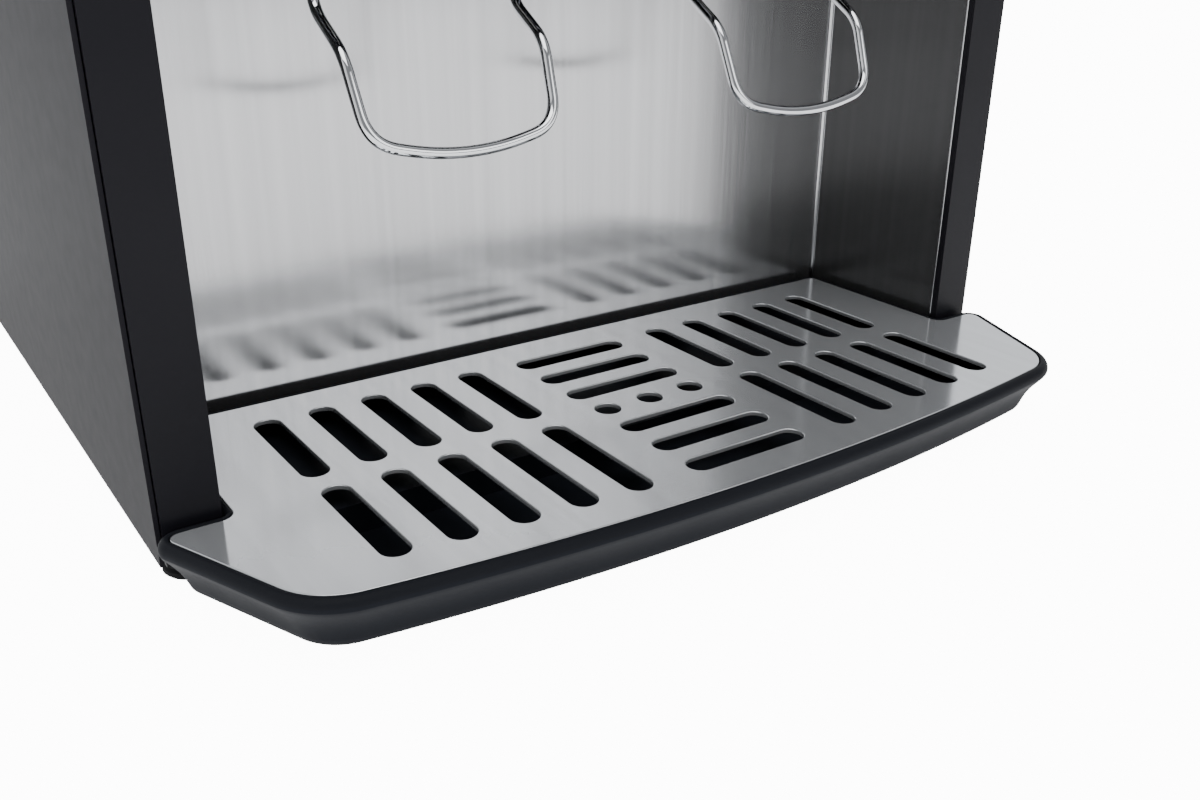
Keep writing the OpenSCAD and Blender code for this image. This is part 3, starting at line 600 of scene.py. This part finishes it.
def block_rings(half, y0, y1, z0, z1, corner=0.003):
    """A box with rounded upright corners, as two rings."""
    loop = []
    for cx, cy, a in ((half - corner, y1 - corner, 0), (-half + corner, y1 - corner, 90),
                      (-half + corner, y0 + corner, 180), (half - corner, y0 + corner, 270)):
        loop += arc((cx, cy), corner, a, a + 90, 5)
    return [[Vector((x, y, z)) for x, y in loop] for z in (z0, z1)]


# The rim's section: how far outside the plate's edge and height above the plate's top, in mm
RIM = [(0.35, -1.2), (0.35, -0.15), (0.5, 0.1), (0.9, 0.18), (1.5, 0.05), (2.1, -0.3), (2.65, -0.8),
       (3.02, -1.4), (3.2, -2), (3.25, -2.6), (3.15, -3.2), (1.8, -3.2)]


def rim_bead():
    """The sloping rim that runs round the plate, thinner behind the posts' front face."""
    share = (SLIDE_HALF - PLATE_HALF) / (PLATE_FRONT - TRAY_FRONT)
    bm = bmesh.new()
    rows = []
    for grow, rise in RIM:
        ring = plate_outline(grow * MM, share)
        rows.append([bm.verts.new((p.x, p.y, PLATE_TOP + rise * MM)) for p in ring])
    count = len(rows[0])
    for k, low in enumerate(rows):
        high = rows[(k + 1) % len(rows)]
        for i in range(count):
            j = (i + 1) % count
            bm.faces.new((low[i], low[j], high[j], high[i]))
    bmesh.ops.recalc_face_normals(bm, faces=bm.faces)
    mesh = bpy.data.meshes.new("rim")
    bm.to_mesh(mesh)
    bm.free()
    return new_object("rim", mesh)


# Height above the tray's underside and how far the skin stands outside the plate's edge, in mm
SKIN = [(0, -6.4), (0.25, -5.7), (0.8, -5), (1.6, -4.45), (2.8, -4), (4.2, -3.5), (5.8, -2.85), (7.4, -2.1),
        (9, -1.15), (10.6, -0.05), (12, 1.05), (13.2, 2.05), (14.2, 2.8), (14.8, 3.13)]


def make_tray():
    """The skin and rear block, less their hollows and the plate's seat, with the rim on top."""
    base = TRAY_LOW
    body_top = PLATE_TOP - RIM_DEPTH
    rings = [tray_ring(g * MM, base + z * MM) for z, g in SKIN]
    rings.append(tray_ring(SKIN[-1][1] * MM, body_top))
    tray = solid("drip_tray_shell", rings)
    rear_floor = hi("base_pan").z + 0.001
    rear = block_rings(SLIDE_HALF, FRONT - JOIN, TRAY_BACK, rear_floor, body_top)
    combine(tray, solid("rear", rear), "UNION")
    seat = PLATE_BOTTOM - SEAT_GAP
    hollow_top = seat + 0.001
    steps = ((base + 0.0018, -8.6), (base + 0.0024, -7.6), (base + 0.008, -7), (rear_floor + FLOOR, -5),
             (hollow_top, -3.4))
    hollow = [tray_ring(g * MM, z, POST_GAP + WALL) for z, g in steps]
    combine(tray, solid("hollow", hollow), "DIFFERENCE")
    rear_hollow = block_rings(SLIDE_HALF - REAR_WALL, FRONT - JOIN, TRAY_BACK - REAR_WALL,
                              rear_floor + FLOOR, hollow_top)
    combine(tray, solid("rear_hollow", rear_hollow), "DIFFERENCE")
    recess = [[Vector((x, y, z)) for x, y in plate_outline(SEAT_GAP)] for z in (seat, TRAY_TOP + 0.002)]
    combine(tray, solid("seat", recess), "DIFFERENCE")
    combine(tray, rim_bead(), "UNION")
    smooth_by_angle(tray, 32)
    dress(tray, "tray_plastic")
    tray.data.materials.append(MATERIALS["tray_skin"])   # below the rim's parting line: the lighter copy, painted light from the floor
    # Faces low on the tray take the lighter copy and the rim keeps the darker one: painted light and painted
    # shade by height.
    for face in tray.data.polygons:
        face.material_index = int(face.center.z < PLATE_TOP - 0.002)
    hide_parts("drip_tray")
    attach(tray, "drip_tray")


# ---- Wire levers ---------------------------------------------------------------------------------
def make_wire_lever(name):
    """One chrome wire: two straight legs, a knee forward in each, and a rounded bar between them."""
    node = "wire_lever_" + name
    a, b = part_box(node)
    radius = 0.0016
    centre = (a.x + b.x) / 2
    leg = 0.0297                           # how far each leg stands from the middle
    leg_y = b.y - radius
    knee_top = Vector((leg, leg_y, 0.143))
    knee_low = Vector((leg, -0.140, 0.133))
    side_low = Vector((leg - 0.0016, -0.1486, 0.1116))
    middle = Vector((0, -0.150, 0.105))
    top = Vector((leg, leg_y, b.z))
    right = [top, knee_top, knee_low, side_low]
    left = [Vector((-p.x, p.y, p.z)) for p in reversed(right)]
    reach = (0.006, 0.005, 0.008, 0.019, 0.008, 0.005, 0.006)
    path = route(right + [middle] + left, reach, 14)
    obj = wire_along("lever_wire_" + name, [p + Vector((centre, 0, 0)) for p in path], radius)
    dress(obj, "chrome_wire")
    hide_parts(node)
    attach(obj, "lever_" + name)


# ---- Valve springs -------------------------------------------------------------------------------
SPRING_WIRE = 0.4 * MM
SPRING_TURNS = 4


def make_spring(name):
    """A valve's return spring, which goes down whole with the plunger."""
    node = "valve_spring_" + name
    low, high = lo(node), hi(node)
    centre = (low + high) / 2
    reach = (high.x - low.x) / 2 - SPRING_WIRE
    steps = 24
    points = []
    for i in range(SPRING_TURNS * steps + 1):
        angle = math.tau * i / steps
        rise = low.z + SPRING_WIRE + (high.z - low.z - 2 * SPRING_WIRE) * i / (SPRING_TURNS * steps)
        points.append((centre.x + reach * math.cos(angle), centre.y + reach * math.sin(angle), rise))
    spring = wire_along("valve_coil_" + name, points, SPRING_WIRE, 4)
    dress(spring, "zinc")
    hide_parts(node)
    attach(spring, "plunger_" + name)
    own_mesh(spring)


# ---- Alcove lining: sheets, bent corners and rolled front edges ----------------------------------
def upright_strip(name, section, z0, z1, material, across=0, node=None):
    """An upright sheet-metal strip with a closed section."""
    strip = solid(name, [[Vector((x, y, z)) for x, y in section] for z in (z0, z1)])
    smooth_by_angle(strip, 35)
    grain_map(strip.data, across, 2)
    dress(strip, material)
    if node:
        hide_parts(node)
    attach(strip, "cabinet")


def make_lining():
    """The back sheet, the side linings that turn out behind the posts, their corners and their front hems.
    The hems are part of the dark linings but take the light steel: a painted highlight along the front edges.
    """
    a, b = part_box("alcove_back")
    z0, z1 = a.z, b.z
    back = [(a.x, a.y), (b.x, a.y), (b.x, b.y), (a.x, b.y)]
    upright_strip("alcove_back_sheet", back, z0, z1, "wall", 0, "alcove_back")
    wall_x, wall_y = b.x, a.y
    sheet = b.y - a.y
    front = lo("alcove_side_right").y
    tail = hi("alcove_side_right")
    bend = 0.0014
    hem_r = 0.0004
    for side, label in ((-1, "left"), (1, "right")):
        lining = [(wall_x, front), (wall_x + sheet, front), (wall_x + sheet, tail.y - sheet),
                  (tail.x, tail.y - sheet), (tail.x, tail.y), (wall_x, tail.y)]
        upright_strip("alcove_lining_" + label, [(side * x, y) for x, y in lining], z0, z1, "dark_wall",
                      1, "alcove_side_" + label)
        corner = arc((wall_x - bend, wall_y - bend), bend, 0, 90, 10) + [(wall_x + 0.0001, wall_y + 0.0001)]
        upright_strip("corner_bend_" + label, [(side * x, y) for x, y in corner], z0, z1,
                      "brushed")
        # The rolled hem shape is real; its light steel, brighter than the lining it belongs to, is a painted
        # highlight.
        hem = arc((POST_INNER + 0.0006, FRONT + 0.0032), hem_r, 90, 270, 8)
        hem += [(wall_x + 0.0003, FRONT + 0.0028), (wall_x + 0.0003, FRONT + 0.0036)]
        upright_strip("lining_hem_painted_highlight_" + label, [(side * x, y) for x, y in hem], z0, z1,
                      "brushed")


add_camera()
add_world()
add_lights()
add_floor()
dress_cad()
make_grille()
make_tray()
make_lining()
for label in ("left", "right"):
    make_wire_lever(label)
    make_spring(label)
